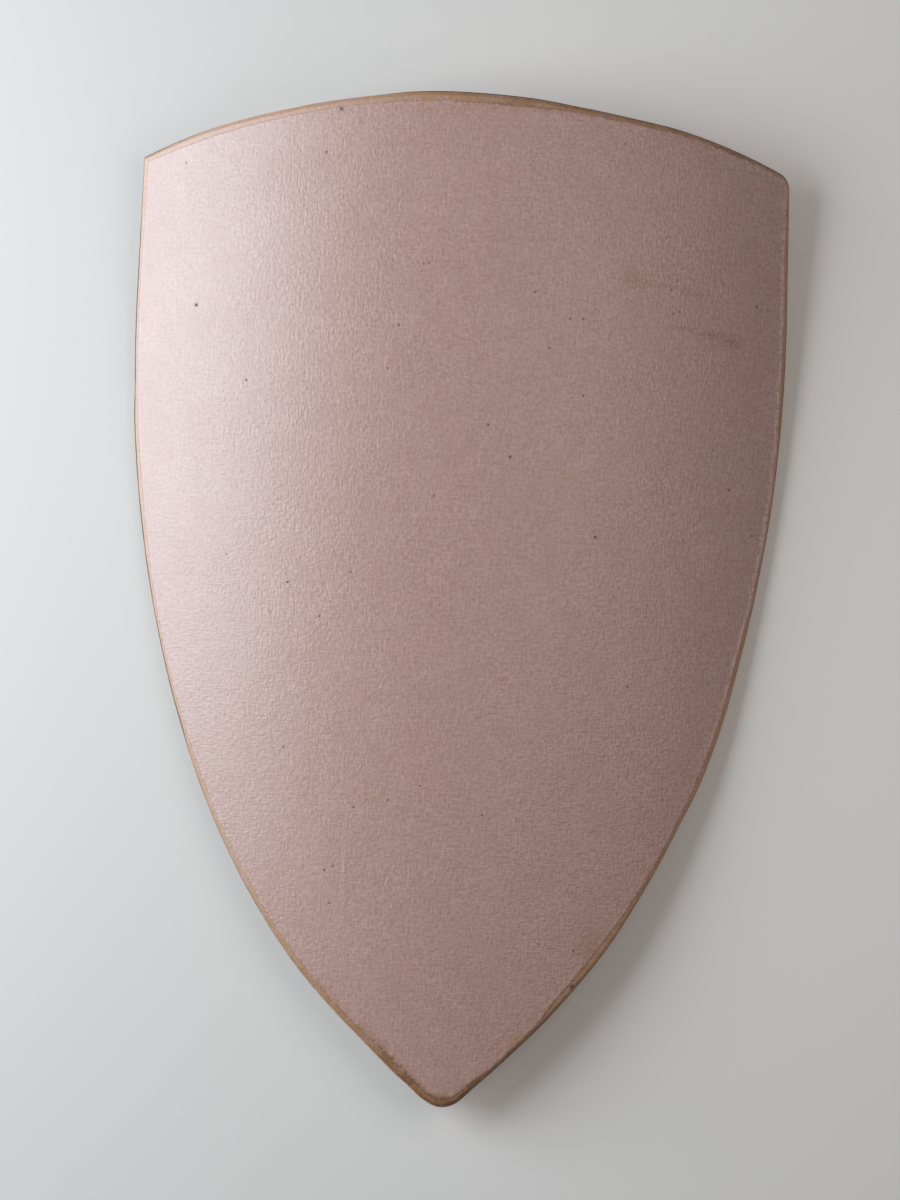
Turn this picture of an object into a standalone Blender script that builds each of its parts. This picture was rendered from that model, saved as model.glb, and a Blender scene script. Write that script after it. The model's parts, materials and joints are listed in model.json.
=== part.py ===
"""A short kite shield of the heater form: a bent plywood board with primed linen glued over its front.

Metres, with +Z up, +Y towards the head and X across. The board is drawn as a flat sheet, with u across it, y
along it and a height above its front. It is bent round an axis along Y, tipped to the slope at which it comes to
rest on its two long rims, and set down on z = 0 with the middle of its box at the origin.
"""

import math

import bmesh
import bpy
import numpy as np
from mathutils import Matrix, Vector

# The sheet, drawn flat
LENGTH = 0.760  # from the tip to the crown of the head
FLAT_WIDTH = 0.538  # across the shoulders, before bending
HEAD_RISE = 0.044  # of the crown above the corners
SIDE_LENGTH = 0.111  # of the straight side, from the corner down to the shoulder
SIDE_LEAN = math.radians(1.4)  # the sides draw together a little towards the head
POINT_HALF_ANGLE = math.radians(46.6)  # from the middle line to the straight edge of the point
POINT_STRAIGHT = 0.068  # length of that straight edge
TIP_RADIUS = 0.0260
LEFT_CORNER_RADIUS = 0.0015  # left and right as seen from the front, with the head up
RIGHT_CORNER_RADIUS = 0.0090
SHOULDER_PULL = 0.42  # how full the flank's curve is, as shares of the way to where its end lines cross
POINT_PULL = 0.80

# The board
BEND_RADIUS = 0.460  # of its front
BOARD_THICKNESS = 0.0085
RIM_ROUND = 0.0040  # on the front edge
BACK_ROUND = 0.0015  # on the back edge
REST_FLAT_DEPTH = 0.0005  # planed off each long rim where it meets the ground

# The linen
LINEN_THICKNESS = 0.0008  # cloth, size and primer together
GLUE_GAP = 0.0003
LINEN_WRAP = math.radians(20)  # how far it turns over the rounded rim

# How finely the curves are drawn
COLUMNS = 41  # flat strips across the sheet; an odd number leaves one along the middle line
HEAD_STEPS = 14
CORNER_STEPS = 4
FLANK_STEPS = 22
TIP_STEPS = 5
ROUND_STEPS = 3
LEAST_ROUND = 0.0002  # the corner's radius on a ring that lies further in than the corner is round
SHARP_ANGLE = math.radians(30)
STEEPEST_REST = math.radians(20)
REST_SEARCH_STEPS = 40
ON_PLANE = 1e-6


def clear_scene():
    for obj in list(bpy.context.scene.objects):
        bpy.data.objects.remove(obj)


def finish(name, colour, roughness):
    material = bpy.data.materials.new(name)
    material.use_nodes = True
    shader = material.node_tree.nodes["Principled BSDF"]
    shader.inputs["Base Color"].default_value = (*colour, 1.0)
    shader.inputs["Roughness"].default_value = roughness
    shader.inputs["Metallic"].default_value = 0.0
    return material


def direction(angle):
    return Vector((math.cos(angle), math.sin(angle)))


def arc(centre, radius, start, end, steps):
    """Points on a circle from one angle to another, both ends included."""
    return [centre + radius * direction(start + (end - start) * i / steps) for i in range(steps + 1)]


def flank_curve(shoulder, side_line, point_end, point_line, inset):
    """The long curve from the shoulder to the straight edge of the point, moved inwards by inset."""
    reach = (point_end - shoulder).cross(point_line) / side_line.cross(point_line)
    crossing = shoulder + reach * side_line
    upper_handle = shoulder.lerp(crossing, SHOULDER_PULL)
    lower_handle = point_end.lerp(crossing, POINT_PULL)
    points = []
    for i in range(FLANK_STEPS + 1):
        t = i / FLANK_STEPS
        first = shoulder.lerp(upper_handle, t)
        middle = upper_handle.lerp(lower_handle, t)
        last = lower_handle.lerp(point_end, t)
        before, after = first.lerp(middle, t), middle.lerp(last, t)
        along = (after - before).normalized()
        points.append(before.lerp(after, t) + inset * Vector((along.y, -along.x)))
    return points


def half_outline(inset, corner_radius):
    """The right half of the flat outline, from the crown round to the tip, moved inwards by inset."""
    corner = Vector((FLAT_WIDTH / 2 - SIDE_LENGTH * math.sin(SIDE_LEAN), LENGTH - HEAD_RISE))
    outward = direction(SIDE_LEAN)
    side_line = Vector((outward.y, -outward.x))
    shoulder = corner + SIDE_LENGTH * side_line

    # The head is one arc through the crown and the corners; the corner's round touches it and the side
    head_radius = (corner.x**2 + HEAD_RISE**2) / (2 * HEAD_RISE)
    head_centre = Vector((0.0, LENGTH - head_radius))
    round_radius = max(corner_radius - inset, LEAST_ROUND)
    from_head = corner - (inset + round_radius) * outward - head_centre
    slope = from_head.dot(side_line)
    touching = head_radius - inset - round_radius
    slide = -slope - math.sqrt(slope**2 - from_head.dot(from_head) + touching**2)
    to_round = from_head + slide * side_line
    turn = math.atan2(to_round.y, to_round.x)
    head = arc(head_centre, head_radius - inset, math.pi / 2, turn, HEAD_STEPS)
    corner_round = arc(head_centre + to_round, round_radius, turn, SIDE_LEAN, CORNER_STEPS)

    tip_radius = max(TIP_RADIUS - inset, LEAST_ROUND)
    tip = arc(Vector((0.0, TIP_RADIUS)), tip_radius, -POINT_HALF_ANGLE, -math.pi / 2, TIP_STEPS)
    point_line = Vector((math.sin(POINT_HALF_ANGLE), math.cos(POINT_HALF_ANGLE)))
    tip_start = Vector((0.0, TIP_RADIUS)) + TIP_RADIUS * direction(-POINT_HALF_ANGLE)
    point_end = tip_start + POINT_STRAIGHT * point_line
    flank = flank_curve(shoulder, side_line, point_end, point_line, inset)
    return head[:-1] + corner_round + flank + tip


def outline(inset):
    """The whole flat outline as a closed ring: down the right from the crown, and back up the left."""
    right = half_outline(inset, RIGHT_CORNER_RADIUS)
    left = half_outline(inset, LEFT_CORNER_RADIUS)
    return right + [Vector((-p.x, p.y)) for p in reversed(left[1:-1])]


def rim_radius():
    """Radius of the round on the front edge, as far as the board's thickness can hold it."""
    return min(RIM_ROUND, BOARD_THICKNESS / 2)


def board_profile():
    """(inset, height) of each ring, from the front face over the rim to the back."""
    rim = rim_radius()
    heel = min(BACK_ROUND, BOARD_THICKNESS / 4)
    quarter = [math.pi / 2 * i / ROUND_STEPS for i in range(ROUND_STEPS + 1)]
    front = [(rim * (1 - math.sin(a)), rim * (math.cos(a) - 1)) for a in quarter]
    back = [(heel * (1 - math.cos(a)), heel * (1 - math.sin(a)) - BOARD_THICKNESS) for a in quarter]
    return front + back


def linen_profile():
    """(inset, height) of each ring, over the outside of the cloth and back along its glued side."""
    rim = rim_radius()
    inner = rim + GLUE_GAP
    outer = inner + LINEN_THICKNESS
    turns = [LINEN_WRAP * i / ROUND_STEPS for i in range(ROUND_STEPS + 1)]

    def ring(radius, turn):
        return rim - radius * math.sin(turn), radius * math.cos(turn) - rim

    return [ring(outer, a) for a in turns] + [ring(inner, a) for a in reversed(turns)]


def sheet_from_rings(profile):
    """A closed flat sheet whose edge steps through the rings, cut into columns so that it can be bent."""
    bm = bmesh.new()
    rings = [[bm.verts.new((u, y, height)) for u, y in outline(inset)] for inset, height in profile]
    count = len(rings[0])
    for upper, lower in zip(rings, rings[1:]):
        for i in range(count):
            j = (i + 1) % count
            bm.faces.new((upper[i], upper[j], lower[j], lower[i]))
    bm.faces.new(rings[0])
    bm.faces.new(rings[-1])
    bmesh.ops.recalc_face_normals(bm, faces=bm.faces)
    for i in range(1, COLUMNS):
        cut = FLAT_WIDTH * (i / COLUMNS - 0.5)
        everything = bm.verts[:] + bm.edges[:] + bm.faces[:]
        bmesh.ops.bisect_plane(bm, geom=everything, dist=ON_PLANE, plane_co=(cut, 0, 0), plane_no=(1, 0, 0))
    return bm


def bend(bm):
    """Carries each point of the flat sheet round the bend, with the crown line of the front left at z = 0."""
    for vert in bm.verts:
        turn = vert.co.x / BEND_RADIUS
        reach = BEND_RADIUS + vert.co.z
        vert.co.x = reach * math.sin(turn)
        vert.co.z = reach * math.cos(turn) - BEND_RADIUS


def points_of(bm):
    return np.array([vert.co for vert in bm.verts])


def centre_of_mass(bm):
    corners = np.array([[loop.vert.co for loop in tri] for tri in bm.calc_loop_triangles()])
    volumes = np.einsum("ij,ij->i", corners[:, 0], np.cross(corners[:, 1], corners[:, 2]))
    return (corners.sum(axis=1) / 4 * volumes[:, None]).sum(axis=0) / volumes.sum()


def resting_slope(bm):
    """The turn about X at which the board's centre of mass lies lowest above the ground."""
    points, centre = points_of(bm), centre_of_mass(bm)

    def height(turn):
        up = np.array((0.0, math.sin(turn), math.cos(turn)))
        return centre @ up - (points @ up).min()

    low, high = -STEEPEST_REST, STEEPEST_REST
    for _ in range(REST_SEARCH_STEPS):
        third = (high - low) / 3
        if height(low + third) < height(high - third):
            high -= third
        else:
            low += third
    return (low + high) / 2


def lay_down(board):
    """Where the finished shield lies: its slope, and the move that sets its planed rims on z = 0."""
    slope = Matrix.Rotation(resting_slope(board), 4, "X")
    turned = points_of(board) @ np.array(slope.to_3x3()).T
    low, high = turned.min(axis=0), turned.max(axis=0)
    middle = (low + high) / 2
    return Matrix.Translation((-middle[0], -middle[1], -low[2] - REST_FLAT_DEPTH)) @ slope


def plane_rest_flats(board):
    """Cuts the two long rims flat at z = 0."""
    everything = board.verts[:] + board.edges[:] + board.faces[:]
    cut = bmesh.ops.bisect_plane(
        board, geom=everything, dist=ON_PLANE, plane_co=(0, 0, 0), plane_no=(0, 0, -1), clear_outer=True
    )
    edges = [item for item in cut["geom_cut"] if isinstance(item, bmesh.types.BMEdge)]
    bmesh.ops.holes_fill(board, edges=edges, sides=0)


def add_piece(name, bm, material):
    mesh = bpy.data.meshes.new(name)
    bm.to_mesh(mesh)
    bm.free()
    mesh.shade_smooth()
    mesh.set_sharp_from_angle(angle=SHARP_ANGLE)
    mesh.materials.append(material)
    bpy.context.scene.collection.objects.link(bpy.data.objects.new(name, mesh))


def main():
    clear_scene()
    board = sheet_from_rings(board_profile())
    linen = sheet_from_rings(linen_profile())
    bend(board)
    bend(linen)
    place = lay_down(board)
    for bm in (board, linen):
        bm.transform(place)
    plane_rest_flats(board)
    add_piece("board", board, finish("plywood", (0.47, 0.33, 0.19), 0.6))
    add_piece("linen_facing", linen, finish("primed_linen", (0.50, 0.36, 0.33), 0.5))


main()
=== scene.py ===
"""How a short, curved, unpainted kite shield looks: primed linen over bent plywood, face up on a floor.

Metres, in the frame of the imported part. Both pieces are drawn on the flat sheet first, as (u, y, h): u
across from the middle line, y along from the tip, and h above the front of the board. The sheet is then
bent round an axis along y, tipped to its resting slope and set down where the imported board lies.
"""

import json
import math
from collections import namedtuple

import bmesh
import bpy
import numpy as np
from mathutils import Matrix, Vector, noise
from mathutils.geometry import delaunay_2d_cdt


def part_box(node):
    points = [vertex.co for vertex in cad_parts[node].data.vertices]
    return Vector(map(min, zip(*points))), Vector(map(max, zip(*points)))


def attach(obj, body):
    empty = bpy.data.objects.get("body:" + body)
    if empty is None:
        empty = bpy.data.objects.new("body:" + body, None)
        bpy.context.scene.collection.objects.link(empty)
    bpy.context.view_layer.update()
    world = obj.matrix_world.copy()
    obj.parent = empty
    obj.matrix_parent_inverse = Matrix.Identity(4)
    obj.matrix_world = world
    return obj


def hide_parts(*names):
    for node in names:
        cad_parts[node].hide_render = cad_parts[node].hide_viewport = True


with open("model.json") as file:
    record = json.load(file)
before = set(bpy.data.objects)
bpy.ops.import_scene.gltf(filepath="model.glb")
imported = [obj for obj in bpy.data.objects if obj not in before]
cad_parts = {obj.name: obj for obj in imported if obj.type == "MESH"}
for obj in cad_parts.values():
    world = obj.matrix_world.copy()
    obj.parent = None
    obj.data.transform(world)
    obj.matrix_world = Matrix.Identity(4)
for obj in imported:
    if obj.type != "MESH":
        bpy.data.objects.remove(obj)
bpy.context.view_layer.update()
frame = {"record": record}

MM = 0.001

# The sheet and its two layers, as in the part's source
LENGTH = 0.760
FLAT_WIDTH = 0.538
HEAD_RISE = 0.044
SIDE_LENGTH = 0.111
SIDE_LEAN = math.radians(1.4)
POINT_HALF_ANGLE = math.radians(46.6)
POINT_STRAIGHT = 0.068
TIP_RADIUS = 0.0260
LEFT_CORNER_RADIUS = 0.0015
RIGHT_CORNER_RADIUS = 0.0130  # the only size that differs: the real corner is rounder than the solid's 9 mm
SHOULDER_PULL = 0.42
POINT_PULL = 0.80
BEND_RADIUS = 0.460
BOARD_THICKNESS = 0.0085
RIM_ROUND = 0.0040
BACK_ROUND = 0.0015
LINEN_THICKNESS = 0.0008
GLUE_GAP = 0.0003
LINEN_WRAP = math.radians(20)

# How finely the rim is drawn, in steps along each stretch of half the outline
HEAD_STEPS = 170
CORNER_STEPS = 8
SIDE_STEPS = 70
FLANK_STEPS = 290
POINT_STEPS = 42
TIP_STEPS = 12
LEAST_ROUND = 0.0002
BAND = 0.014  # width of the band along the rim that is drawn in rings
BULGE = 2.0
SAME_POINT = 1e-8

# The linen
THREAD_PITCH = 0.0008
PRIMER_THICKNESS = 0.0003  # of the linen's thickness, the part that is worn off along the rim
PRIMER_BORDER = 0.0006  # over which the primer thins out where it ends
PRIMER_LIP = 0.00014  # how far the primer stands up beside its border
LIP_SET_BACK = 0.0014  # from the border to the top of that lip
LIP_WIDTH = 0.0010
LIP_AT_LEFT, LIP_GAIN = 0.4, 0.9  # shares of the lip's height: at the left, and added at the right
GAIN_FROM, GAIN_WITHIN = 0.17, 0.07  # how far right of the middle line that starts, and over what length
WRAP_LOST_AT_SIDES = 0.6  # share of the wrap that the cloth lacks where the rim faces left or right
WRAP_WOBBLE = math.radians(3)
FRAYED_AWAY = 0.00055  # how much thinner the cloth is at its cut edge
FRAY_FROM = 0.35  # share of the wrap after which it thins
FACE_SPACING = 0.0025  # between the points of its face
INNER_SPACING = 0.012
LINEN_INSETS = (BAND, 0.012, 0.0105, 0.0095) + tuple(0.009 - 0.0005 * i for i in range(11))
WRAP_SHARES = (0.17, 0.34, 0.5, 0.66, 0.82, 0.95, 1.0)
UNDERSIDE = ((1.0, 0.00002), (0.6, 0.0001), (0.0, GLUE_GAP))  # share of the wrap, height above the board
UNDERSIDE_BARE = 0.005  # the glued side's distance past the primer's border

# The board
PLY_COUNT = 7
PLY = BOARD_THICKNESS / PLY_COUNT
GLUE_LINE = 0.00006  # half the width of the line between two plies
CROSS_PLY_DEPTH = 0.00012  # how far the softer cross plies are worn back at the rim
WEAR, WEAR_VARIES = 0.6, 0.4  # shares of that depth: on average, and how it varies along the rim
SAW_MARKS = 0.00003
DARK_VARIES = 0.0002  # how far the height at which the wood turns dark wanders along the rim
FRONT_INSETS = (BAND, 0.008, 0.006, 0.005, RIM_ROUND)
BACK_INSETS = (BACK_ROUND, 0.006, BAND)
BACK_SPACING = 0.005

# Layers of noise in the surface: height, how long its lumps are across and along, and a seed
FACE_WAVES = ((0.00010, (0.080, 0.130), 1.7), (0.00002, (0.014, 0.030), 5.3))
BORDER_WAVES = ((0.0005, (0.022, 0.022), 3.1), (0.0003, (0.006, 0.006), 8.7))

# The photograph's frame in pixels, and how the camera saw the middle of the sheet's crown line
PICTURE = (900, 1200)
AIM = (455.7, 600.3)
PIXELS_PER_METRE = 1334.7
VIEW_DISTANCE = 2.3
ROLL = math.radians(1.99)
YAW = math.radians(1.95)
SENSOR = 36.0

# Places round the rim, by their pixel of the photograph: how far the hand-cut edge stands off the drawn
# outline, how wide the band without primer is, how grimy and how ochre it is from 0 to 1, how far below the
# front the wood turns dark, and how far along the rim all this holds
REACH = 0.040  # where a place states none
LEAST_WEIGHT = 1e-9  # of a place that is far away
FIELDS = "name pixel stands_off bare grime ochre dark_from reach"
RimPlace = namedtuple("RimPlace", FIELDS, defaults=[REACH])
RIM_PLACES = (
    RimPlace("left corner", (158, 152), -0.0034, 0.0068, 0.00, 0.20, 0.0003),
    RimPlace("head, far left", (195, 136), -0.0006, 0.0085, 0.00, 0.20, 0.0018),
    RimPlace("head, left", (262, 117), -0.0011, 0.0070, 0.00, 0.35, 0.0040),
    RimPlace("head, left of the crown", (345, 102), 0.0000, 0.0064, 0.05, 0.25, 0.0030),
    RimPlace("crown", (440, 92), 0.0023, 0.0074, 0.15, 0.85, 0.0015),
    RimPlace("head, right of the crown", (505, 96), 0.0006, 0.0076, 0.55, 0.65, 0.0013),
    RimPlace("head, right", (610, 107), -0.0014, 0.0050, 0.40, 0.80, 0.0014),
    RimPlace("head, far right", (710, 132), 0.0004, 0.0042, 0.50, 0.50, 0.0012),
    RimPlace("head, by the right corner", (750, 147), 0.0005, 0.0040, 0.80, 0.50, 0.0009, 0.030),
    RimPlace("right corner", (783, 178), 0.0006, 0.0032, 0.65, 0.50, 0.0004, 0.020),
    RimPlace("right side, high", (787, 212), 0.0005, 0.0052, 0.40, 0.60, 0.0005, 0.030),
    RimPlace("right side", (787, 290), 0.0002, 0.0060, 0.30, 0.20, 0.0002),
    RimPlace("right side, low", (783, 390), 0.0000, 0.0062, 0.30, 1.00, 0.0002),
    RimPlace("right flank", (772, 490), 0.0000, 0.0050, 0.25, 0.40, 0.0003),
    RimPlace("right flank, middle", (760, 586), -0.0006, 0.0050, 0.30, 0.45, 0.0004, 0.028),
    RimPlace("right flank, low", (745, 650), -0.0004, 0.0060, 0.35, 0.60, 0.0006),
    RimPlace("flank, low right", (717, 742), 0.0013, 0.0054, 0.30, 0.60, 0.0008),
    RimPlace("point, far right", (656, 868), -0.0010, 0.0050, 0.30, 0.60, 0.0010),
    RimPlace("point, right", (590, 970), 0.0002, 0.0072, 0.20, 1.00, 0.0010),
    RimPlace("point, right of the tip", (505, 1062), 0.0010, 0.0034, 0.45, 0.50, 0.0008),
    RimPlace("tip, right", (462, 1099), 0.0006, 0.0050, 0.90, 0.60, 0.0010, 0.012),
    RimPlace("tip", (446, 1107), 0.0014, 0.0075, 1.00, 0.90, 0.0020, 0.012),
    RimPlace("tip, left", (422, 1097), -0.0024, 0.0066, 1.00, 1.00, 0.0030, 0.014),
    RimPlace("point, left of the tip", (395, 1074), -0.0009, 0.0076, 0.80, 0.90, 0.0030, 0.030),
    RimPlace("point, left", (340, 1022), -0.0008, 0.0060, 0.45, 0.80, 0.0028),
    RimPlace("point, far left", (297, 966), 0.0010, 0.0058, 0.25, 0.80, 0.0018),
    RimPlace("flank, low left", (225, 845), 0.0008, 0.0056, 0.15, 0.40, 0.0010),
    RimPlace("left flank", (165, 640), 0.0004, 0.0050, 0.10, 0.20, 0.0003),
    RimPlace("left side, low", (138, 500), 0.0005, 0.0064, 0.05, 0.30, 0.0001),
    RimPlace("left side", (137, 300), -0.0010, 0.0058, 0.00, 0.15, 0.0001),
)

# Small things on the face: pixel of the photograph, radius
DARK_SPECKS = (
    ((197, 305), 0.0013), ((342, 109), 0.0015), ((327, 152), 0.0008), ((187, 163), 0.0006),
    ((399, 325), 0.0008), ((388, 368), 0.0007), ((247, 380), 0.0008), ((535, 292), 0.0007),
    ((570, 319), 0.0007), ((583, 319), 0.0007), ((671, 290), 0.0006), ((673, 314), 0.0007),
    ((756, 307), 0.0009), ((549, 348), 0.0007), ((583, 396), 0.0007), ((510, 457), 0.0010),
    ((595, 537), 0.0010), ((728, 490), 0.0008), ((434, 496), 0.0008), ((227, 554), 0.0006),
    ((288, 582), 0.0009), ((320, 616), 0.0008), ((351, 572), 0.0007), ((284, 747), 0.0007),
    ((482, 815), 0.0008), ((420, 786), 0.0007), ((424, 264), 0.0006), ((429, 263), 0.0007),
    ((354, 807), 0.0008), ((325, 870), 0.0009), ((333, 866), 0.0007), ((330, 903), 0.0007),
    ((388, 800), 0.0007), ((627, 687), 0.0007), ((751, 536), 0.0008),
    ((488, 425), 0.0007), ((767, 310), 0.0007), ((679, 312), 0.0006), ((573, 951), 0.0008),
    ((572, 987), 0.0018), ((625, 144), 0.0007),
)
PALE_LUMPS = (((388, 361), 0.0014), ((268, 610), 0.0014))
SPECK_DEPTH = 0.00012
SPECK_DARKNESS, SPECK_FADE = 1.7, 1.5  # cut off at 1, so that a speck's middle is evenly dark
LUMP_HEIGHT = 0.00025
SPOT_CLEARING = 2.2  # radii round each of them, filled with rings of points of its own
SPOT_RINGS = ((0.45, 6), (0.9, 10), (1.5, 12))  # radii, count of points

# Stains: pixel of the photograph, reach across and along, strength
OCHRE_STAINS = (
    ((633, 279), 0.0080, 0.0060, 1.00),
    ((566, 476), 0.0060, 0.0050, 0.40),
    ((592, 950), 0.0130, 0.0150, 0.60),
    ((520, 1040), 0.0090, 0.0050, 1.00),
    ((377, 799), 0.0050, 0.0014, 0.50),
)
RUST_STAINS = (
    ((656, 286), 0.0130, 0.0018, 0.45),
    ((690, 292), 0.0080, 0.0034, 0.40),
    ((684, 329), 0.0130, 0.0016, 0.80),
    ((712, 335), 0.0090, 0.0024, 0.90),
    ((731, 342), 0.0095, 0.0050, 0.75),
)

# A thick thread under the primer
SLUB_ENDS = ((344, 834), (345, 929))
SLUB_WIDTH = 0.0016
SLUB_HEIGHT = 0.00012
SLUB_TAPER = 0.008  # length of its thinning ends
SLUB_CLEARING = 1.6  # widths to either side of it, filled with rows of points of its own
SLUB_ROW = (-1.2, -0.6, 0.0, 0.6, 1.2)  # widths
SLUB_ROWS_APART = 0.002

# The lights, as fitted to the photograph: degrees away from the line of sight, degrees round it from the
# picture's left towards the head, distance, width, height and watts
Light = namedtuple("Light", "name away turn distance width height power colour")
LIGHTS = (
    Light("key", 63.7, 15.4, 1.76, 1.21, 1.66, 46.9, (0.707, 0.902, 1.0)),
    Light("fill", 34.6, 164.5, 1.20, 1.0, 1.0, 3.45, (0.985, 1.0, 0.948)),
)
SURROUNDING_LIGHT = 0.139
FLOOR_REACH = 6.0


# Where things are

def resting_slope():
    """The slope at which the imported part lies, from the mount on the middle of its back."""
    for mount in frame["record"]["mounts"]:
        if mount["name"] == "back_middle":
            return math.atan2(mount["axis"][1], -mount["axis"][2])
    raise ValueError("the packed record has no mount named back_middle")


def bent(points):
    """Carries points (u, y, h) of the flat sheet round the bend; the front's crown line stays at z = 0."""
    turn = points[:, 0] / BEND_RADIUS
    reach = BEND_RADIUS + points[:, 2]
    return np.column_stack((reach * np.sin(turn), points[:, 1], reach * np.cos(turn) - BEND_RADIUS))


def direction(angle):
    return Vector((math.cos(angle), math.sin(angle)))


def arc(centre, radius, start, end, steps):
    return [centre + radius * direction(start + (end - start) * i / steps) for i in range(steps + 1)]


def run(start, end, steps):
    return [start.lerp(end, i / steps) for i in range(steps + 1)]


def flank_curve(shoulder, side_line, point_end, point_line, inset):
    """The long curve from the shoulder to the straight edge of the point, moved inwards by inset."""
    reach = (point_end - shoulder).cross(point_line) / side_line.cross(point_line)
    crossing = shoulder + reach * side_line
    upper_handle = shoulder.lerp(crossing, SHOULDER_PULL)
    lower_handle = point_end.lerp(crossing, POINT_PULL)
    points = []
    for i in range(FLANK_STEPS + 1):
        t = i / FLANK_STEPS
        middle = upper_handle.lerp(lower_handle, t)
        before = shoulder.lerp(upper_handle, t).lerp(middle, t)
        after = middle.lerp(lower_handle.lerp(point_end, t), t)
        along = (after - before).normalized()
        points.append(before.lerp(after, t) + inset * Vector((along.y, -along.x)))
    return points


def half_outline(inset, corner_radius):
    """The right half of the flat outline, from the crown round to the tip, moved inwards by inset."""
    corner = Vector((FLAT_WIDTH / 2 - SIDE_LENGTH * math.sin(SIDE_LEAN), LENGTH - HEAD_RISE))
    outward = direction(SIDE_LEAN)
    side_line = Vector((outward.y, -outward.x))
    shoulder = corner + SIDE_LENGTH * side_line

    head_radius = (corner.x**2 + HEAD_RISE**2) / (2 * HEAD_RISE)
    head_centre = Vector((0.0, LENGTH - head_radius))
    round_radius = max(corner_radius - inset, LEAST_ROUND)
    from_head = corner - (inset + round_radius) * outward - head_centre
    slope = from_head.dot(side_line)
    touching = head_radius - inset - round_radius
    slide = -slope - math.sqrt(slope**2 - from_head.dot(from_head) + touching**2)
    to_round = from_head + slide * side_line
    turn = math.atan2(to_round.y, to_round.x)
    head = arc(head_centre, head_radius - inset, math.pi / 2, turn, HEAD_STEPS)
    corner_round = arc(head_centre + to_round, round_radius, turn, SIDE_LEAN, CORNER_STEPS)

    tip_centre = Vector((0.0, TIP_RADIUS))
    tip = arc(tip_centre, max(TIP_RADIUS - inset, LEAST_ROUND), -POINT_HALF_ANGLE, -math.pi / 2, TIP_STEPS)
    point_line = Vector((math.sin(POINT_HALF_ANGLE), math.cos(POINT_HALF_ANGLE)))
    point_end = tip_centre + TIP_RADIUS * direction(-POINT_HALF_ANGLE) + POINT_STRAIGHT * point_line
    flank = flank_curve(shoulder, side_line, point_end, point_line, inset)
    side = run(corner_round[-1], flank[0], SIDE_STEPS)
    point = run(flank[-1], tip[0], POINT_STEPS)
    return head[:-1] + corner_round[:-1] + side[:-1] + flank[:-1] + point[:-1] + tip


def outline(inset):
    """The flat outline as a closed ring: down the right from the crown, and back up the left."""
    right = half_outline(inset, RIGHT_CORNER_RADIUS)
    left = half_outline(inset, LEFT_CORNER_RADIUS)
    return np.array(right + [Vector((-p.x, p.y)) for p in reversed(left[1:-1])])


RINGS = [outline(inset) for inset in (0.0, RIM_ROUND, BAND)]
COUNT = len(RINGS[0])


def ring(inset, height):
    """Points (u, y, h) round the sheet. The inset and the height may each differ from point to point."""
    inset = np.broadcast_to(inset, COUNT)
    outer = (1 - inset / RIM_ROUND)[:, None] * RINGS[0] + (inset / RIM_ROUND)[:, None] * RINGS[1]
    share = ((inset - RIM_ROUND) / (BAND - RIM_ROUND))[:, None]
    inner = (1 - share) * RINGS[1] + share * RINGS[2]
    flat = np.where((inset < RIM_ROUND)[:, None], outer, inner)
    return np.column_stack((flat, np.broadcast_to(height, COUNT)))


def over_the_rim(turn, height):
    """A ring that has turned this far over the rounded rim, at a height above the board there."""
    reach = RIM_ROUND + height
    return ring(RIM_ROUND - reach * np.sin(turn), reach * np.cos(turn) - RIM_ROUND)


def placing():
    """The move that takes the bent sheet, as drawn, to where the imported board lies."""
    slope = Matrix.Rotation(resting_slope(), 4, "X")
    edge = bent(ring(0.0, -RIM_ROUND)) @ np.array(slope.to_3x3()).T
    crown = bent(ring(RIM_ROUND, 0.0)) @ np.array(slope.to_3x3()).T
    low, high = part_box("board")
    middle = (low + high) / 2
    return Matrix.Translation((
        middle.x - (edge[:, 0].min() + edge[:, 0].max()) / 2,
        middle.y - (edge[:, 1].min() + edge[:, 1].max()) / 2,
        high.z - crown[:, 2].max(),
    )) @ slope


PLACE = placing()


def placed(points):
    """Points (u, y, h) of the flat sheet, taken to where they lie."""
    turn = np.array(PLACE)
    return bent(points) @ turn[:3, :3].T + turn[:3, 3]


def camera_turn():
    """The camera's rotation against the unbent sheet."""
    return Matrix.Rotation(-YAW, 4, "Y") @ Matrix.Rotation(ROLL, 4, "Z")


def sheet_point(pixel):
    """Where a pixel of the photograph falls on the flat sheet, as (u, y)."""
    focal = PIXELS_PER_METRE * VIEW_DISTANCE
    turn = camera_turn().to_3x3()
    ray = turn @ Vector(((pixel[0] - AIM[0]) / focal, (AIM[1] - pixel[1]) / focal, -1.0))
    eye = turn @ Vector((0.0, 0.0, VIEW_DISTANCE))
    eye.z += BEND_RADIUS
    a = ray.x**2 + ray.z**2
    b = eye.x * ray.x + eye.z * ray.z
    c = eye.x**2 + eye.z**2 - BEND_RADIUS**2
    hit = eye + ray * ((-b - math.sqrt(max(b**2 - a * c, 0.0))) / a)
    return Vector((BEND_RADIUS * math.atan2(hit.x, hit.z), hit.y + LENGTH / 2))


# The rim, cut by hand

def outward():
    """The direction that faces out of the sheet at each point round it."""
    along = np.roll(RINGS[0], -1, axis=0) - np.roll(RINGS[0], 1, axis=0)
    return np.column_stack((-along[:, 1], along[:, 0])) / np.linalg.norm(along, axis=1)[:, None]


def from_places():
    """For each point round the sheet, how far it stands from each of RIM_PLACES."""
    spots = np.array([sheet_point(place.pixel) for place in RIM_PLACES])
    return np.linalg.norm(RINGS[0][:, None, :] - spots[None, :, :], axis=2)


def round_the_rim(values):
    """A value for each point round the sheet, carried smoothly from one of RIM_PLACES to the next."""
    reach = np.array([place.reach for place in RIM_PLACES])
    weight = np.exp(-((from_places() / reach) ** 2)) / reach**2 + LEAST_WEIGHT
    return (weight @ np.array(values)) / weight.sum(axis=1, keepdims=True)


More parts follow.
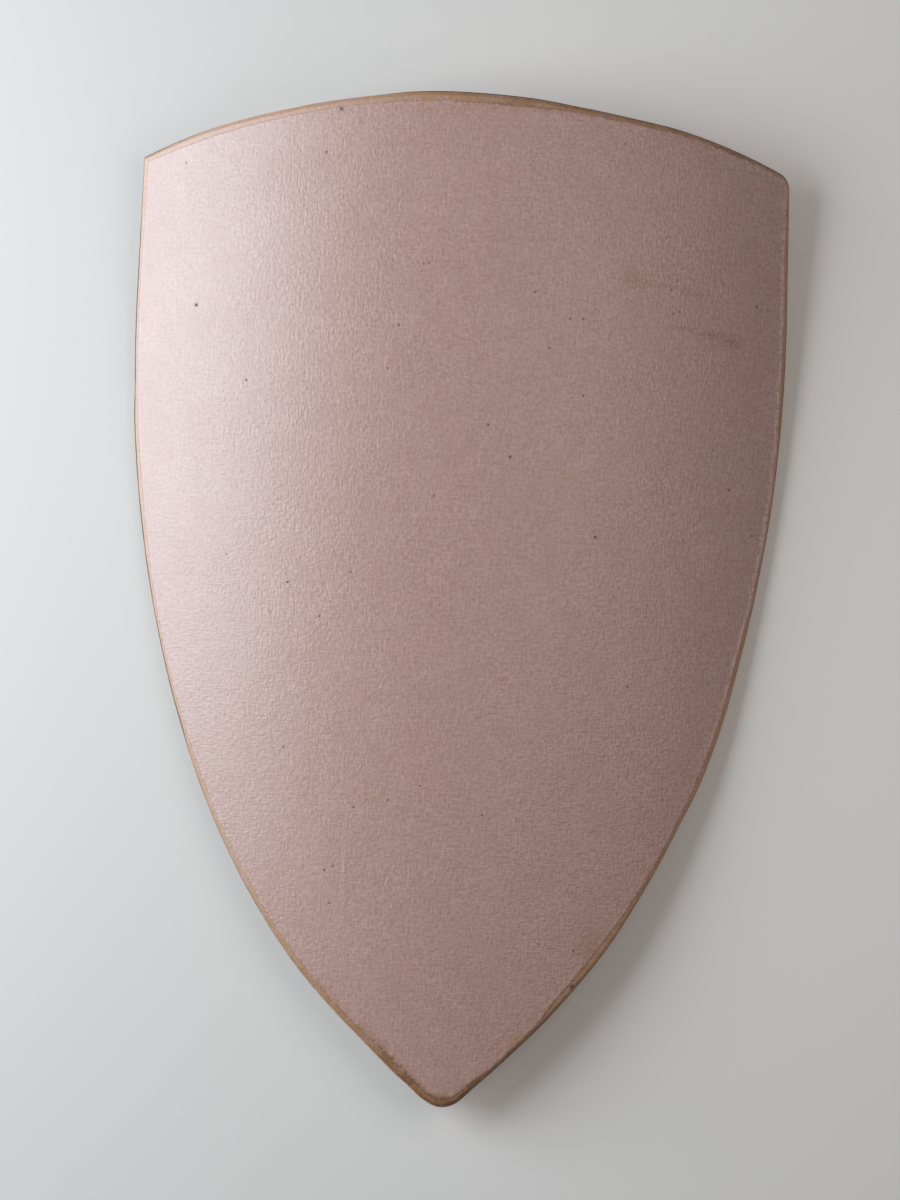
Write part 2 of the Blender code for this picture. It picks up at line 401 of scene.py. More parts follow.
def rim_values(key):
    return round_the_rim([[getattr(place, key)] for place in RIM_PLACES])[:, 0]


OUTWARD = outward()
NEAREST = from_places().argmin(axis=0)
HAND_CUT = round_the_rim([place.stands_off * OUTWARD[k] for place, k in zip(RIM_PLACES, NEAREST)])
RINGS[0] += HAND_CUT
RINGS[1] += HAND_CUT


# Building a body from rings and patches

def rough(points, size, seed):
    """Smooth noise between -1 and 1 at each point; size is how long its lumps are across and along."""
    return np.array([noise.noise(Vector((p[0] / size[0], p[1] / size[1], seed))) for p in points])


def waves(points, layers):
    """The sum of some layers of noise at each point."""
    return sum(height * rough(points, size, seed) for height, size, seed in layers)


def smooth_step(value):
    share = np.clip(value, 0.0, 1.0)
    return share * share * (3 - 2 * share)


def staggered_points(border, spacing):
    """Points of a staggered grid inside the closed ring, which any level line crosses twice."""
    lowest = border[:, 1].argmin()
    right = border[lowest::-1]
    left = np.vstack((border[lowest:], border[:1]))
    points = []
    row_height = spacing * math.sqrt(3) / 2
    for row in range(int(border[lowest, 1] // row_height), int(LENGTH / row_height) + 1):
        y = row * row_height
        if not right[0, 1] < y < right[-1, 1]:
            continue
        start = np.interp(y, left[:, 1], left[:, 0])
        end = np.interp(y, right[:, 1], right[:, 0])
        first = math.ceil(start / spacing - row % 2 / 2)
        last = math.floor(end / spacing - row % 2 / 2)
        points += [(spacing * (k + row % 2 / 2), y) for k in range(first, last + 1)]
    return np.array(points)


def patch(border, inside, border_start, inside_start):
    """The triangles that fill a closed ring, by the numbers that the points have in the mesh.

    Points on one straight line would give empty triangles, so the ring is bulged a little for the filling.
    """
    away = np.vstack((border, inside))[:, :2] - border[:, :2].mean(axis=0)
    bulged = away / (1 + BULGE * (away**2).sum(axis=1, keepdims=True))
    made = delaunay_2d_cdt([Vector(p) for p in bulged], [], [list(range(COUNT))], 1, SAME_POINT, True)
    numbers = [sources[0] for sources in made[3]]
    numbers = [border_start + i if i < COUNT else inside_start + i - COUNT for i in numbers]
    return [[numbers[i] for i in face] for face in made[2]]


def closed_body(name, rings, front, back, values):
    """A closed bent body: a patch over the front, the rings round the rim, and a patch over the back."""
    points = np.vstack([*rings, front, back])
    faces = []
    for k in range(len(rings) - 1):
        upper, lower = k * COUNT, (k + 1) * COUNT
        for i in range(COUNT):
            j = (i + 1) % COUNT
            faces.append((upper + i, upper + j, lower + j, lower + i))
    front_start = len(rings) * COUNT
    faces += patch(rings[0], front, 0, front_start)
    faces += patch(rings[-1], back, front_start - COUNT, front_start + len(front))
    mesh = bpy.data.meshes.new(name)
    mesh.from_pydata(placed(points).tolist(), [], faces)
    bm = bmesh.new()
    bm.from_mesh(mesh)
    bmesh.ops.recalc_face_normals(bm, faces=bm.faces)
    bm.to_mesh(mesh)
    bm.free()
    flat = mesh.attributes.new("flat", "FLOAT_VECTOR", "POINT")
    flat.data.foreach_set("vector", points.astype(np.float32).ravel())
    for key, value in values.items():
        mesh.attributes.new(key, "FLOAT", "POINT").data.foreach_set("value", value.astype(np.float32))
    mesh.shade_smooth()
    body = bpy.data.objects.new(name, mesh)
    bpy.context.scene.collection.objects.link(body)
    return body


# The linen

def bare_width():
    """How far in from the rim the primer ends, at each point round the sheet."""
    return rim_values("bare") + waves(RINGS[0], BORDER_WAVES)


def round_and_inside(values, ring_count, inside_count):
    """The same value round the sheet for every ring, and none for the points inside."""
    return np.concatenate([np.tile(values, ring_count), np.zeros(inside_count)])


def face_relief(points):
    """How far the primed face stands above or below its mean."""
    relief = waves(points, FACE_WAVES)
    start, end = sheet_point(SLUB_ENDS[0]), sheet_point(SLUB_ENDS[1])
    above_end, below_start = points[:, 1] - end.y, start.y - points[:, 1]
    along = smooth_step(below_start / SLUB_TAPER) * smooth_step(above_end / SLUB_TAPER)
    across = (points[:, 0] - (start.x + end.x) / 2) / SLUB_WIDTH
    relief += SLUB_HEIGHT * along * np.exp(-(across**2) * 2)
    for spots, size in ((DARK_SPECKS, -SPECK_DEPTH), (PALE_LUMPS, LUMP_HEIGHT)):
        for pixel, radius in spots:
            away = np.linalg.norm(points[:, :2] - np.array(sheet_point(pixel)), axis=1) / radius
            relief += size * np.exp(-(away**2))
    return relief


def lies_inside(border, points):
    """Whether each point lies within the closed ring: an odd count of its edges is then to the right."""
    start, end = border[:, :2], np.roll(border[:, :2], -1, axis=0)
    crossings = np.zeros(len(points), int)
    for (x1, y1), (x2, y2) in zip(start, end):
        if y1 != y2:
            beyond = points[:, 0] < x1 + (points[:, 1] - y1) * (x2 - x1) / (y2 - y1)
            crossings += beyond & ((y1 > points[:, 1]) != (y2 > points[:, 1]))
    return crossings % 2 == 1


def face_points():
    """The linen's face inside the band of rings: points, closer together at the small things on it."""
    points = staggered_points(outline(BAND + FACE_SPACING / 2), FACE_SPACING)
    extra = []
    for pixel, radius in DARK_SPECKS + PALE_LUMPS:
        middle = sheet_point(pixel)
        away = np.linalg.norm(points - np.array(middle), axis=1)
        points = points[away > SPOT_CLEARING * radius]
        extra.append(middle)
        for share, count in SPOT_RINGS:
            turns = [2 * math.pi * (k + share) / count for k in range(count)]
            extra += [middle + radius * share * direction(turn) for turn in turns]
    start, end = sheet_point(SLUB_ENDS[0]), sheet_point(SLUB_ENDS[1])
    middle = (start.x + end.x) / 2
    beside = abs(points[:, 0] - middle) < SLUB_CLEARING * SLUB_WIDTH
    points = points[~(beside & (points[:, 1] < start.y) & (points[:, 1] > end.y))]
    rows = int((start.y - end.y) / SLUB_ROWS_APART)
    for row in range(rows + 1):
        y = end.y + (start.y - end.y) * row / rows
        extra += [Vector((middle + SLUB_WIDTH * share, y)) for share in SLUB_ROW]
    everything = np.vstack((points, np.array(extra)))
    return everything[lies_inside(outline(BAND + FACE_SPACING / 5), everything)]


def speck_values(points):
    """How dark each point of the face is from the specks on it, from 0 to 1."""
    dark = np.zeros(len(points))
    for pixel, radius in DARK_SPECKS:
        away = np.linalg.norm(points[:, :2] - np.array(sheet_point(pixel)), axis=1) / radius
        dark = np.maximum(dark, np.minimum(SPECK_DARKNESS * np.exp(-(away**2) * SPECK_FADE), 1.0))
    return dark


def stain_values(points, stains):
    """How brown each point of the face is from the stains on it, from 0 to 1."""
    brown = np.zeros(len(points))
    for pixel, across, along, strength in stains:
        middle = sheet_point(pixel)
        away = ((points[:, 0] - middle.x) / across) ** 2 + ((points[:, 1] - middle.y) / along) ** 2
        brown = np.maximum(brown, strength * np.exp(-away))
    return brown


def inside_points(spacing, height):
    """Evenly spread points (u, y, h) inside the band of rings, all at one height."""
    flat = staggered_points(outline(BAND + spacing / 2), spacing)
    return np.column_stack((flat, np.full(len(flat), height)))


def build_linen():
    """The linen. Its rings run from the face over the rounded rim, and back along the glued side."""
    bare = bare_width()
    wrap = LINEN_WRAP * (1 - WRAP_LOST_AT_SIDES * OUTWARD[:, 0] ** 2)
    wrap += WRAP_WOBBLE * rough(RINGS[0], (0.03, 0.03), 6.2)
    to_right = smooth_step((RINGS[0][:, 0] - GAIN_FROM) / GAIN_WITHIN)
    lip_height = PRIMER_LIP * (LIP_AT_LEFT + LIP_GAIN * to_right) * (1 + rough(RINGS[0], (0.05, 0.05), 1.3))
    top = GLUE_GAP + LINEN_THICKNESS

    def lift(inset, points):
        covered = smooth_step((inset - bare) / PRIMER_BORDER + 0.5)
        lip = lip_height * np.exp(-(((inset - bare - LIP_SET_BACK) / LIP_WIDTH) ** 2))
        return top - PRIMER_THICKNESS * (1 - covered) + lip + face_relief(points)

    rings, past_border = [], []
    for inset in LINEN_INSETS:
        base = ring(inset, 0.0)
        base[:, 2] = lift(inset, base)
        rings.append(base)
        past_border.append(bare - inset)
    for share in WRAP_SHARES:
        inset = RIM_ROUND * (1 - np.sin(wrap * share))
        frayed = FRAYED_AWAY * smooth_step((share - FRAY_FROM) / (1 - FRAY_FROM))
        rings.append(over_the_rim(wrap * share, lift(inset, ring(inset, 0.0)) - frayed))
        past_border.append(bare - inset)
    rings += [over_the_rim(wrap * share, height) for share, height in UNDERSIDE]
    rings.append(ring(BAND, GLUE_GAP))
    past_border += [np.full(COUNT, UNDERSIDE_BARE)] * (len(UNDERSIDE) + 1)

    inside = face_points()
    face = np.column_stack((inside, np.full(len(inside), top)))
    face[:, 2] += face_relief(face)
    back = inside_points(INNER_SPACING, GLUE_GAP)

    everything = np.vstack([*rings, face, back])
    values = {
        "bare": np.concatenate([*past_border, np.full(len(face), -BAND), np.full(len(back), BAND)]) / MM,
        "grime": round_and_inside(rim_values("grime"), len(rings), len(face) + len(back)),
        "ochre": round_and_inside(rim_values("ochre"), len(rings), len(face) + len(back)),
        "speck": speck_values(everything),
        "stain": stain_values(everything, OCHRE_STAINS),
        "rust": stain_values(everything, RUST_STAINS),
    }
    return closed_body("linen", rings, face, back, values)


# The board

def edge_wear(height):
    """How far the edge is worn back: more on every second ply, whose grain runs out at the rim."""
    cross = math.floor(-height / PLY) % 2
    wear = WEAR + WEAR_VARIES * rough(RINGS[0], (0.012, 0.012), 4.4)
    return CROSS_PLY_DEPTH * cross * wear + SAW_MARKS * (1 + rough(RINGS[0], (0.004, 0.004), 9.2))


def edge_heights():
    """Heights down the edge: either side of each glue line, and two within each ply."""
    heights = []
    for k in range(PLY_COUNT):
        top, bottom = -PLY * k, -PLY * (k + 1)
        heights += [top - GLUE_LINE, top - PLY * 0.3, top - PLY * 0.7, bottom + GLUE_LINE]
    return heights


def edge_form(below):
    """The edge's inset at a depth below the front, and which way it faces there: outwards and up."""
    if below < RIM_ROUND:
        turn = math.acos(1 - below / RIM_ROUND)
        return RIM_ROUND * (1 - math.sin(turn)), math.sin(turn), math.cos(turn)
    if below > BOARD_THICKNESS - BACK_ROUND:
        turn = math.asin((below - (BOARD_THICKNESS - BACK_ROUND)) / BACK_ROUND)
        return BACK_ROUND * (1 - math.cos(turn)), math.cos(turn), -math.sin(turn)
    return 0.0, 1.0, 0.0


def build_board():
    """The board. Its rings run from the front over the rim, ply by ply, to the back."""
    rings = [ring(inset, 0.0) for inset in FRONT_INSETS]
    for height in edge_heights():
        inset, outwards, up = edge_form(-height)
        worn = edge_wear(height)
        rings.append(ring(inset + worn * outwards, height - worn * up))
    rings += [ring(inset, -BOARD_THICKNESS) for inset in BACK_INSETS]

    front = inside_points(INNER_SPACING, 0.0)
    back = inside_points(BACK_SPACING, -BOARD_THICKNESS)
    dark_from = rim_values("dark_from") + DARK_VARIES * rough(RINGS[0], (0.015, 0.015), 2.9)
    values = {
        "grime": round_and_inside(rim_values("grime"), len(rings), len(front) + len(back)),
        "ochre": round_and_inside(rim_values("ochre"), len(rings), len(front) + len(back)),
        "dark_from": round_and_inside(dark_from / MM, len(rings), len(front) + len(back)),
    }
    board = closed_body("plywood_board", rings, front, back, values)
    for vert in board.data.vertices:
        vert.co.z = max(vert.co.z, 0.0)  # the two planed flats that it rests on
    return board


# Finishes

class Finish:
    """A material and short ways to add nodes to it."""

    def __init__(self, name):
        self.material = bpy.data.materials.new(name)
        self.material.use_nodes = True
        self.tree = self.material.node_tree
        self.shader = self.tree.nodes["Principled BSDF"]

    def feed(self, socket, value):
        if isinstance(value, bpy.types.NodeSocket):
            self.tree.links.new(value, socket)
        else:
            socket.default_value = value

    def add(self, kind, inputs, **settings):
        node = self.tree.nodes.new("ShaderNode" + kind)
        for key, value in settings.items():
            setattr(node, key, value)
        for key, value in inputs.items():
            self.feed(node.inputs[key], value)
        return node

    def attribute(self, name, output="Fac"):
        return self.add("Attribute", {}, attribute_name=name).outputs[output]

    def maths(self, operation, *values):
        return self.add("Math", dict(enumerate(values)), operation=operation).outputs[0]

    def total(self, *values):
        result = values[0]
        for value in values[1:]:
            result = self.maths("ADD", result, value)
        return result

    def scaled(self, vector, size):
        """Coordinates that grow by 1 over each of these lengths, in metres."""
        return self.add("Mapping", {"Vector": vector, "Scale": [1 / s for s in size]}).outputs[0]

    def noise_node(self, vector, size, detail, roughness):
        """Noise whose lumps are this long across, along and through the sheet."""
        place = self.scaled(vector, size)
        inputs = {"Vector": place, "Scale": 1.0, "Detail": detail, "Roughness": roughness}
        return self.add("TexNoise", inputs)

    def noise(self, vector, size, detail=2.0, roughness=0.5):
        return self.noise_node(vector, size, detail, roughness).outputs["Fac"]

    def noises(self, vector, size, detail=2.0, roughness=0.5):
        """Three noises of one size that have nothing to do with each other."""
        node = self.noise_node(vector, size, detail, roughness)
        return self.add("SeparateXYZ", {0: node.outputs["Color"]}).outputs

    def ramp(self, value, low, high, start=0.0, end=1.0, form="SMOOTHSTEP"):
        """Goes from start to end as the value goes from low to high."""
        inputs = {"Value": value, "From Min": low, "From Max": high, "To Min": start, "To Max": end}
        return self.add("MapRange", inputs, interpolation_type=form).outputs[0]

    def blend(self, share, first, second, blend_type="MIX"):
        inputs = {0: share, 6: first, 7: second}
        return self.add("Mix", inputs, data_type="RGBA", blend_type=blend_type).outputs[2]

    def bump(self, height_mm):
        """Raises the surface by a height in millimetres."""
        node = self.add("Bump", {"Height": height_mm, "Distance": MM, "Strength": 1.0})
        self.feed(self.shader.inputs["Normal"], node.outputs[0])


def rgb(red, green, blue):
    return (red, green, blue, 1.0)


# The primer, and the highlights painted on its lip by the rim
PRIMER_CLOUDS = (rgb(0.612, 0.320, 0.264), rgb(0.586, 0.303, 0.249))
PRIMER_RIDGE_HIGHLIGHT = rgb(0.640, 0.370, 0.315)
PRIMER_LIP_HIGHLIGHT = rgb(0.720, 0.465, 0.430)

# Multiplied into the primer
DARKER = rgb(0.930, 0.930, 0.930)
REDDER = rgb(1.0, 0.910, 0.920)
ALL_OVER = rgb(1.018, 1.097, 1.093)
LESS_RED = rgb(0.890, 0.995, 1.020)

# What lies in and on the primer
# darker in the weave's hollows: primer gathered there, and painted shade
PIT_PRIMER_AND_SHADE = rgb(0.455, 0.210, 0.168)
FINE_DOTS = rgb(0.230, 0.105, 0.075)
OCHRE_STAIN = rgb(0.455, 0.190, 0.085)
RUST_STAIN = rgb(0.365, 0.140, 0.098)
HAZE = rgb(0.380, 0.180, 0.100)
DIRT = rgb(0.190, 0.070, 0.030)
SPECK = rgb(0.060, 0.026, 0.020)

# The rim, light and dark, and what lies on it
BARE_CLOTH = (rgb(0.610, 0.315, 0.235), rgb(0.520, 0.262, 0.190))
GLUED_PLY = (rgb(0.640, 0.335, 0.235), rgb(0.560, 0.280, 0.190))
RIM_OCHRE = rgb(0.500, 0.232, 0.095)
RIM_GRIME = rgb(0.275, 0.099, 0.030)
RIM_BLOTS = rgb(0.180, 0.060, 0.024)

# The wood
LONG_GRAIN = (rgb(0.570, 0.400, 0.240), rgb(0.470, 0.310, 0.170))
WOOD_FIGURE = rgb(0.410, 0.255, 0.135)
WOOD_PORES = rgb(0.260, 0.155, 0.080)
END_GRAIN = (rgb(0.330, 0.205, 0.110), rgb(0.215, 0.125, 0.062))
DRIED_GLUE = rgb(0.120, 0.062, 0.032)
DARKER_BELOW = rgb(0.230, 0.165, 0.130)  # multiplied in

PAPER = rgb(0.92, 0.775, 0.725)
SURROUNDINGS = rgb(0.835, 0.971, 1.0)

BLOTCH = (0.0021, 0.0025, 0.01)  # the size of the blotches that the linen and the rim share


def rim_colour(f, flat, light, dark):
    """The glue-brown of the rim: peach, ochre in places, and grimy in others."""
    patches = f.noises(flat, (0.009,) * 3, 4.0, 0.6)
    grimy = f.attribute("grime")
    ochre = f.maths("MULTIPLY", f.attribute("ochre"), f.ramp(patches[0], 0.35, 0.60, 0.25, 1.15))
    grime = f.maths("MULTIPLY", grimy, f.ramp(patches[1], 0.35, 0.65, 0.55, 1.15))
    colour = f.blend(f.ramp(f.noise(flat, BLOTCH), 0.35, 0.65), light, dark)
    colour = f.blend(ochre, colour, RIM_OCHRE)
    colour = f.blend(grime, colour, RIM_GRIME)
    blots = f.ramp(f.noise(flat, (0.0040, 0.0030, 0.01), 3.0, 0.65), 0.52, 0.64, 0.0, 0.55)
    dots = f.ramp(f.noise(flat, (0.0015, 0.0015, 0.01)), 0.56, 0.64, 0.0, 0.9)
    blots = f.maths("MULTIPLY", f.maths("MAXIMUM", blots, dots), grimy)
    return f.blend(blots, colour, RIM_BLOTS)


def mottled_primer(f, flat, across, clouds, bare_mm, grimy):
    """The primer's colour: mottled, less red at the right, with highlights painted on its lip by the rim.
    """
    mottles = f.noises(flat, (0.020, 0.023, 0.02), 5.0, 0.7)
    primer = f.blend(f.ramp(clouds, 0.3, 0.7), *PRIMER_CLOUDS)
    primer = f.blend(f.ramp(mottles[0], 0.3, 0.7), primer, DARKER, "MULTIPLY")
    primer = f.blend(f.ramp(mottles[1], 0.3, 0.7), primer, REDDER, "MULTIPLY")
    primer = f.blend(1.0, primer, ALL_OVER, "MULTIPLY")
    primer = f.blend(f.ramp(across, 0.13, 0.26), primer, LESS_RED, "MULTIPLY")
    # A paler line painted along the primer's lip as its highlight, and less of it where the rim is grimy
    ridge_highlight = f.maths("MULTIPLY", f.ramp(bare_mm, -2.6, -1.4), f.ramp(clouds, 0.4, 0.6, 0.15, 0.8))
    ridge_highlight = f.maths("MULTIPLY", ridge_highlight, f.ramp(grimy, 0.2, 0.6, 1.0, 0.0))
    primer = f.blend(ridge_highlight, primer, PRIMER_RIDGE_HIGHLIGHT)
    # A wider pale band painted inside the primer's border on the right side only, as the highlight of its
    # lip there
    pale = f.maths("MULTIPLY", f.ramp(bare_mm, -5.5, -3.0), f.ramp(bare_mm, -2.0, -0.3, 1.0, 0.4))
    pale = f.maths("MULTIPLY", pale, f.ramp(across, 0.18, 0.24, 0.0, 0.7))
    return f.blend(pale, primer, PRIMER_LIP_HIGHLIGHT)


def marked(f, flat, primer, blotches):
    """The primer's colour with fine dots scattered over it, and with its ochre and rust stains."""
    coordinates = f.scaled(flat, (0.012, 0.012, 1.0))
    cells = f.add("TexVoronoi", {"Vector": coordinates, "Scale": 1.0}, voronoi_dimensions="2D").outputs
    pick = f.add("SeparateXYZ", {0: cells["Color"]}).outputs[0]
    size = f.ramp(pick, 0.88, 1.0, 0.001, 0.050, "LINEAR")
    dots = f.ramp(f.maths("DIVIDE", cells["Distance"], size), 0.6, 1.2, 0.75, 0.0)
    primer = f.blend(dots, primer, FINE_DOTS)
    strokes = f.ramp(f.noise(flat, (0.0050, 0.0028, 0.01), 3.0, 0.6), 0.40, 0.60, 0.25, 1.15)
    primer = f.blend(f.maths("MULTIPLY", f.attribute("stain"), strokes), primer, OCHRE_STAIN)
    rust = f.maths("MULTIPLY", f.attribute("rust"), f.ramp(blotches, 0.35, 0.65, 0.50, 1.1))
    return f.blend(rust, primer, RUST_STAIN)


def primed_linen():
    """Satin primer over a plain weave, worn through to the glue-brown cloth along the rim."""
    f = Finish("primed_linen")
    flat = f.attribute("flat", "Vector")
    axes = f.add("SeparateXYZ", {0: flat}).outputs
    bare_mm, speck, grimy = f.attribute("bare"), f.attribute("speck"), f.attribute("grime")

    # The weave: threads of uneven width
    drift = f.noises(flat, (0.007,) * 3)
    threads = []
    for axis in (0, 1):
        wander = f.maths("MULTIPLY", drift[axis], 5.0)
        threads.append(f.maths("SINE", f.maths("MULTIPLY_ADD", axes[axis], math.pi / THREAD_PITCH, wander)))
    weave = f.maths("MULTIPLY", threads[0], threads[1])
    warp = f.noise(flat, (0.0018, 0.0042, 0.01), 1.5)
    weft = f.noise(flat, (0.0042, 0.0018, 0.01), 1.5)
    grain = f.maths("MULTIPLY_ADD", f.maths("ADD", warp, weft), 0.7, -0.2)
    blotches = f.noise(flat, BLOTCH)
    streaks = f.noise(flat, (0.0024, 0.020, 0.01))
    thick_warp = f.noise(flat, (0.0014, 0.013, 0.01), 1.0)
    thick_weft = f.noise(flat, (0.013, 0.0014, 0.01), 1.0)

    # How coarse the weave's relief and its darker hollows are: less towards the left, in patches
    filled = f.noise(flat, (0.045, 0.060, 0.05))
    coarse = f.ramp(axes[0], -0.24, 0.15, 0.75, 1.38, "LINEAR")
    coarse = f.maths("MULTIPLY", coarse, f.ramp(filled, 0.35, 0.65, 0.88, 1.12))
    coarse = f.maths("MULTIPLY", coarse, f.ramp(axes[0], -0.26, -0.21, 0.70, 1.0))

    # Where the primer is worn off, with a ragged border
    ragged = f.total(
        f.maths("MULTIPLY_ADD", f.noise(flat, (0.0045,) * 3, 3.0, 0.6), 4.0, -2.0),
        f.maths("MULTIPLY_ADD", f.noise(flat, (0.0011,) * 3, 1.0), 1.6, -0.8),
        bare_mm,
    )
    worn = f.ramp(ragged, -0.6, 0.6)

    # The primer, darker in the hollows of the weave: partly primer gathered there, partly painted shade
    clouds = f.noise(flat, (0.060, 0.080, 0.05), 3.0, 0.6)
    primer = mottled_primer(f, flat, axes[0], clouds, bare_mm, grimy)
    pit_primer_and_shade = f.maths("MULTIPLY_ADD", grain, -0.54, f.maths("MULTIPLY_ADD", blotches, 0.45, 0.295))
    pit_primer_and_shade = f.maths("MULTIPLY_ADD", f.maths("ADD", thick_warp, thick_weft), 0.25, pit_primer_and_shade)
    pit_primer_and_shade = f.maths("MULTIPLY_ADD", coarse, f.ramp(pit_primer_and_shade, 0.3, 0.7, -0.40, 0.40), 0.38)
    primer = marked(f, flat, f.blend(pit_primer_and_shade, primer, PIT_PRIMER_AND_SHADE), blotches)

    # A brown haze on the primer where the rim is grimy
    patchy = f.maths("MULTIPLY", grimy, f.ramp(drift[2], 0.30, 0.60))
    primer = f.blend(f.maths("MULTIPLY", f.ramp(bare_mm, -6.0, 0.0), patchy), primer, HAZE)

    # The bare cloth, and dirt where the primer ends
    colour = f.blend(worn, primer, rim_colour(f, flat, *BARE_CLOTH))
    from_border = f.maths("DIVIDE", f.maths("ABSOLUTE", ragged), f.maths("MULTIPLY_ADD", grimy, 1.8, 1.0))
    border = f.maths("SUBTRACT", 1.0, f.ramp(from_border, 0.1, 0.8))
    dirt = f.maths("MULTIPLY", border, f.ramp(f.noise(flat, (0.0019,) * 3), 0.47, 0.57, 0.0, 0.85))
    dirt = f.maths("MULTIPLY", dirt, f.maths("MULTIPLY_ADD", grimy, 0.75, 0.25))
    colour = f.blend(dirt, colour, DIRT)
    f.feed(f.shader.inputs["Base Color"], f.blend(speck, colour, SPECK))

    satin = f.maths("MULTIPLY_ADD", clouds, 0.04, 0.42)
    roughness = f.total(f.maths("MULTIPLY", worn, 0.06), f.maths("MULTIPLY", speck, 0.4), satin)
    f.feed(f.shader.inputs["Roughness"], roughness)
    f.shader.inputs["Specular IOR Level"].default_value = 1.0
    depth = f.total(
        f.maths("MULTIPLY", grain, 0.35),
        f.maths("MULTIPLY", streaks, 0.06),
        f.maths("MULTIPLY", weave, 0.010),
        f.maths("MULTIPLY", f.maths("MULTIPLY", weave, worn), 0.03),
    )
    f.bump(f.maths("MULTIPLY", depth, coarse))
    return f.material


def plywood():
    """Birch plywood: long grain on the faces; plies at the edge, glue-brown at the front, darker below."""
    f = Finish("plywood")
    flat = f.attribute("flat", "Vector")
    height = f.add("SeparateXYZ", {0: flat}).outputs[2]
    layer = f.maths("MINIMUM", f.maths("MULTIPLY", height, -1 / PLY), PLY_COUNT - 0.01)
    cross = f.maths("GREATER_THAN", f.maths("FRACT", f.maths("MULTIPLY", layer, 0.5)), 0.5)

    # The long grain of the faces and of every second ply, and the end grain of the plies between
    grain = f.noise(flat, (0.0016, 0.060, 0.002), 4.0, 0.6)
    figure = f.noise(flat, (0.022, 0.260, 0.010), 3.0, 0.55)
    pores = f.noise(flat, (0.0006, 0.012, 0.0006))
    long_grain = f.blend(f.ramp(grain, 0.3, 0.7), *LONG_GRAIN)
    long_grain = f.blend(f.ramp(figure, 0.35, 0.7, 0.0, 0.55), long_grain, WOOD_FIGURE)
    long_grain = f.blend(f.ramp(pores, 0.62, 0.75, 0.0, 0.5), long_grain, WOOD_PORES)
    ends = f.noise(flat, (0.0010, 0.0010, 0.0004), 3.0, 0.6)
    wood = f.blend(cross, long_grain, f.blend(f.ramp(ends, 0.35, 0.65), *END_GRAIN))

    # The glue lines between plies, but none on the two faces
    share = f.maths("FRACT", layer)
    to_line = f.maths("MINIMUM", share, f.maths("SUBTRACT", 1.0, share))
    from_middle = f.maths("ABSOLUTE", f.maths("SUBTRACT", layer, PLY_COUNT / 2))
    off_faces = f.maths("LESS_THAN", from_middle, PLY_COUNT / 2 - 0.3)
    line = f.maths("MULTIPLY", f.maths("LESS_THAN", to_line, GLUE_LINE / PLY), off_faces)
    wood = f.blend(line, wood, DRIED_GLUE)

    # Near the front the edge is brown with glue, and below that it is darker
    depth_mm = f.maths("MULTIPLY", height, -1 / MM)
    below = f.maths("SUBTRACT", depth_mm, f.attribute("dark_from"))
    darker_below = f.blend(1.0, wood, DARKER_BELOW, "MULTIPLY")
    glue = f.blend(f.ramp(below, 0.0, 0.25), rim_colour(f, flat, *GLUED_PLY), darker_below)
    drips = f.maths("MULTIPLY_ADD", f.noise(flat, (0.011, 0.011, 0.05), 4.0, 0.65), 5.0, -2.5)
    front = f.ramp(f.maths("ADD", depth_mm, drips), 3.6, 5.4, 1.0, 0.0)
    f.feed(f.shader.inputs["Base Color"], f.blend(front, wood, glue))
    f.feed(f.shader.inputs["Roughness"], f.maths("MULTIPLY_ADD", front, -0.06, 0.62))
    f.shader.inputs["Specular IOR Level"].default_value = 0.6
    f.bump(f.total(f.maths("MULTIPLY", grain, 0.10), f.maths("MULTIPLY", pores, 0.05)))
    return f.material


def floor_paper():
    """Plain pale paper."""
    f = Finish("floor_paper")
    f.shader.inputs["Base Color"].default_value = PAPER
    f.shader.inputs["Roughness"].default_value = 0.9
    return f.material


# The setting

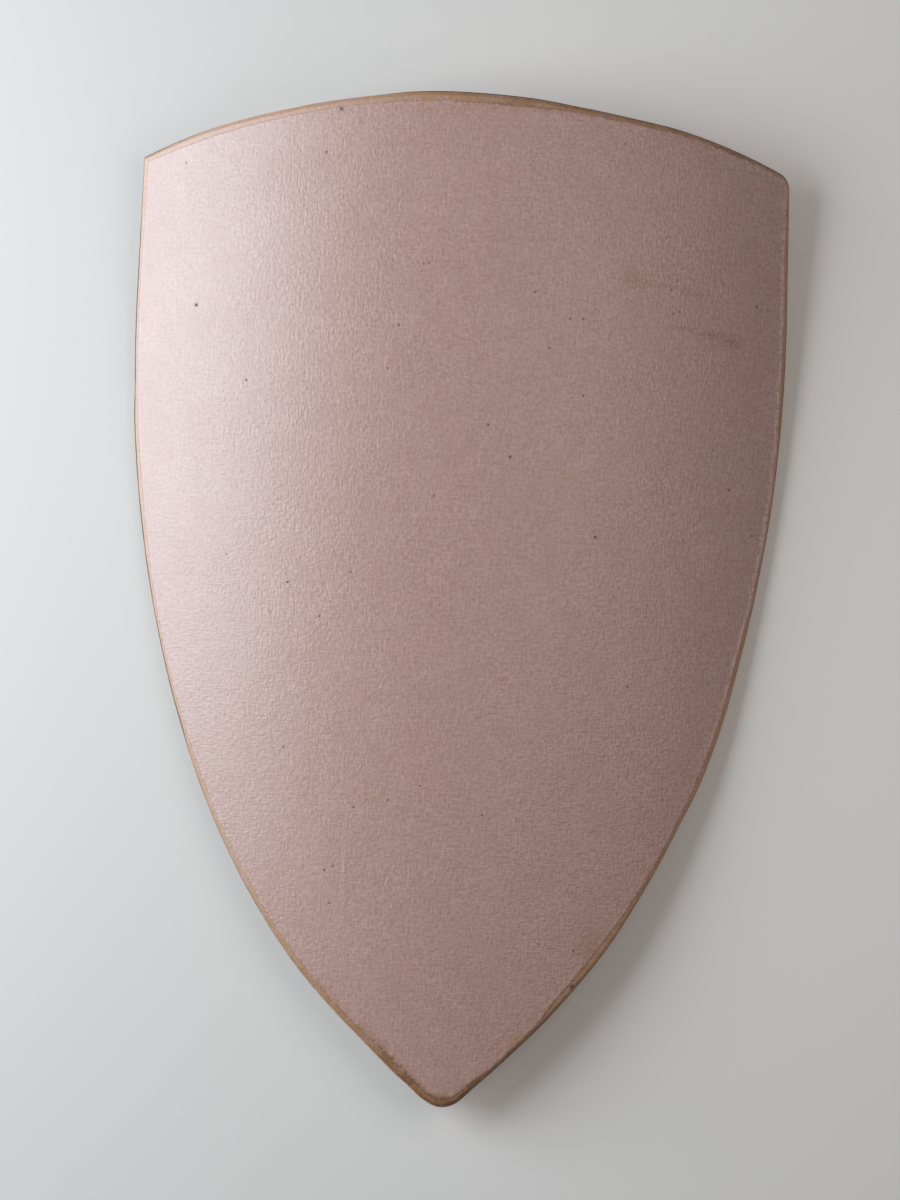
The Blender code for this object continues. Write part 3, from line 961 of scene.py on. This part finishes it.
def add_floor():
    mesh = bpy.data.meshes.new("floor")
    corners = [(x * FLOOR_REACH, y * FLOOR_REACH, 0.0) for x, y in ((-1, -1), (1, -1), (1, 1), (-1, 1))]
    mesh.from_pydata(corners, [], [(0, 1, 2, 3)])
    mesh.materials.append(floor_paper())
    floor = bpy.data.objects.new("floor", mesh)
    bpy.context.scene.collection.objects.link(floor)


def line_of_sight():
    """The turn and place of a frame on the middle of the shield's front, with z towards the camera."""
    return PLACE @ Matrix.Translation((0.0, LENGTH / 2, 0.0)) @ camera_turn()


def add_light(light):
    """A soft rectangular light that looks at the middle of the shield's front."""
    lamp = bpy.data.lights.new(light.name, "AREA")
    lamp.shape = "RECTANGLE"
    lamp.size = light.width
    lamp.size_y = light.height
    lamp.energy = light.power
    lamp.color = light.colour
    away, turn = math.radians(light.away), math.radians(light.turn)
    side = Vector((-math.sin(away) * math.cos(turn), math.sin(away) * math.sin(turn), math.cos(away)))
    sight = line_of_sight()
    body = bpy.data.objects.new(light.name, lamp)
    body.visible_camera = False
    body.location = sight @ (light.distance * side)
    body.rotation_euler = (sight.to_3x3() @ side).to_track_quat("Z", "Y").to_euler()
    bpy.context.scene.collection.objects.link(body)


def add_lights():
    for light in LIGHTS:
        add_light(light)
    world = bpy.data.worlds.new("studio")
    world.use_nodes = True
    background = world.node_tree.nodes["Background"]
    background.inputs["Color"].default_value = SURROUNDINGS
    background.inputs["Strength"].default_value = SURROUNDING_LIGHT
    bpy.context.scene.world = world


def add_camera():
    lens = bpy.data.cameras.new("camera")
    lens.sensor_width = SENSOR
    lens.lens = SENSOR * PIXELS_PER_METRE * VIEW_DISTANCE / max(PICTURE)
    lens.shift_x = (PICTURE[0] / 2 - AIM[0]) / max(PICTURE)
    lens.shift_y = (AIM[1] - PICTURE[1] / 2) / max(PICTURE)
    camera = bpy.data.objects.new("camera", lens)
    camera.matrix_world = line_of_sight() @ Matrix.Translation((0.0, 0.0, VIEW_DISTANCE))
    bpy.context.scene.collection.objects.link(camera)
    bpy.context.scene.camera = camera


def main():
    linen = build_linen()
    linen.data.materials.append(primed_linen())
    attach(linen, "root")
    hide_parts("linen_facing")

    board = build_board()
    board.data.materials.append(plywood())
    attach(board, "root")
    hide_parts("board")

    add_floor()
    add_lights()
    add_camera()
    bpy.context.scene.view_settings.view_transform = "Standard"


main()
